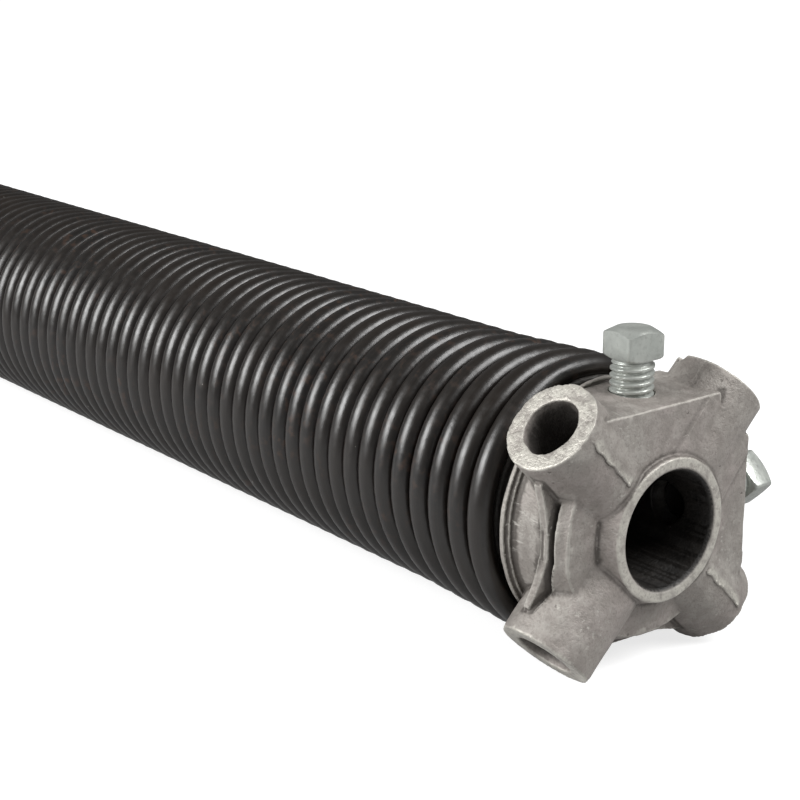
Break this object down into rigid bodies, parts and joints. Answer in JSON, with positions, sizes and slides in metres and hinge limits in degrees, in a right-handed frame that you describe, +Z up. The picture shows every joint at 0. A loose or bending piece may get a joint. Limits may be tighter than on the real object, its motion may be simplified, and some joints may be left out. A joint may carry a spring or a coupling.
{
  "type": "garage door torsion spring",
  "caption": "Long close-wound steel torsion spring with a cast winding cone, radial bar sockets and square-head set screws at one end and a bolted cone at the other.",
  "frame": {"origin": "centre of the stationary cone's mounting face, on the shaft axis", "axes": "+X along the shaft from the stationary cone to the winding cone's nose, +Z up, towards the first set screw, +Y towards the second"},
  "size_m": [0.542, 0.0912, 0.0748],
  "materials": {
    "spring_wire": "oil-tempered steel wire, dark brown-black with a thin oil film and faint rust",
    "cast_alloy": "as-cast aluminium, mottled, with ground mouths and flash along the parting lines",
    "zinc_steel": "zinc-plated steel, slightly greenish grey"
  },
  "bodies": {
    "stationary_end": {"stationary_cone": "cast_alloy", "spring": "spring_wire"},
    "winding_end": {"winding_cone": "cast_alloy"},
    "screw_top": {"set_screw_top": "zinc_steel"},
    "screw_side": {"set_screw_side": "zinc_steel"}
  },
  "joints": [
    {"name": "winding", "type": "hinge", "parent": "stationary_end", "child": "winding_end", "pos_m": [0.53094, 0, 0], "axis": [1, 0, 0], "range_deg": [0, 2700], "stiffness_Nm_per_rad": 0.36, "deforming": ["spring"]},
    {"name": "top_screw_in", "type": "slide", "parent": "winding_end", "child": "screw_top", "axis": [0, 0, -1], "range_m": [0, 0.0065]},
    {"name": "side_screw_in", "type": "slide", "parent": "winding_end", "child": "screw_side", "axis": [0, -1, 0], "range_m": [0, 0.0065]}
  ]
}
